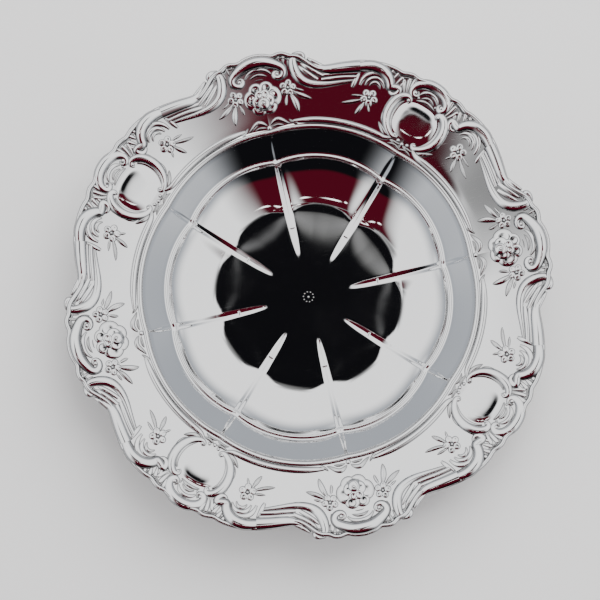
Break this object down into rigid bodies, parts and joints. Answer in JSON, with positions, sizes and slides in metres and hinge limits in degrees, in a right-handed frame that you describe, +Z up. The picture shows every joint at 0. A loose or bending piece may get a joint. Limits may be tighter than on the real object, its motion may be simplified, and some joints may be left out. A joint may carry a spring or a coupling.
{
  "type": "offering plate",
  "caption": "Round bright-plated offering plate: ribbed bowl, wide rising flange with a wavy edge, struck border of roses, scrolls and plain cartouches, low foot ring.",
  "frame": {"origin": "centre of the foot ring, on the surface it stands on", "axes": "+Z up along the plate's axis, +Y towards the first rose of the border, +X towards the rose a quarter turn clockwise from it"},
  "size_m": [0.305, 0.3053, 0.0414],
  "materials": {
    "silver_plate": "mirror polished, light use scratches",
    "struck_plate": "bright struck relief, slightly darker in the recesses",
    "panel_plate": "mirror polished, plain"
  },
  "bodies": {
    "root": {"acanthus_scroll_left_1": "struck_plate", "acanthus_scroll_left_2": "struck_plate", "acanthus_scroll_left_3": "struck_plate", "acanthus_scroll_left_4": "struck_plate", "acanthus_scroll_right_1": "struck_plate", "acanthus_scroll_right_2": "struck_plate", "acanthus_scroll_right_3": "struck_plate", "acanthus_scroll_right_4": "struck_plate", "cartouche_frame_1": "struck_plate", "cartouche_frame_2": "struck_plate", "cartouche_frame_3": "struck_plate", "cartouche_frame_4": "struck_plate", "cartouche_panel_1": "panel_plate", "cartouche_panel_2": "panel_plate", "cartouche_panel_3": "panel_plate", "cartouche_panel_4": "panel_plate", "dish": "silver_plate", "foot_ring": "silver_plate", "rim_moulding": "struck_plate", "rose_1": "struck_plate", "rose_2": "struck_plate", "rose_3": "struck_plate", "rose_4": "struck_plate", "rose_crest_1": "struck_plate", "rose_crest_2": "struck_plate", "rose_crest_3": "struck_plate", "rose_crest_4": "struck_plate", "rose_spray_left_1": "struck_plate", "rose_spray_left_2": "struck_plate", "rose_spray_left_3": "struck_plate", "rose_spray_left_4": "struck_plate", "rose_spray_right_1": "struck_plate", "rose_spray_right_2": "struck_plate", "rose_spray_right_3": "struck_plate", "rose_spray_right_4": "struck_plate", "shell_scroll_left_1": "struck_plate", "shell_scroll_left_2": "struck_plate", "shell_scroll_left_3": "struck_plate", "shell_scroll_left_4": "struck_plate", "shell_scroll_right_1": "struck_plate", "shell_scroll_right_2": "struck_plate", "shell_scroll_right_3": "struck_plate", "shell_scroll_right_4": "struck_plate", "well_knot_1": "struck_plate", "well_knot_2": "struck_plate", "well_knot_3": "struck_plate", "well_knot_4": "struck_plate", "well_moulding_left_1": "struck_plate", "well_moulding_left_2": "struck_plate", "well_moulding_left_3": "struck_plate", "well_moulding_left_4": "struck_plate", "well_moulding_right_1": "struck_plate", "well_moulding_right_2": "struck_plate", "well_moulding_right_3": "struck_plate", "well_moulding_right_4": "struck_plate"}
  },
  "joints": []
}
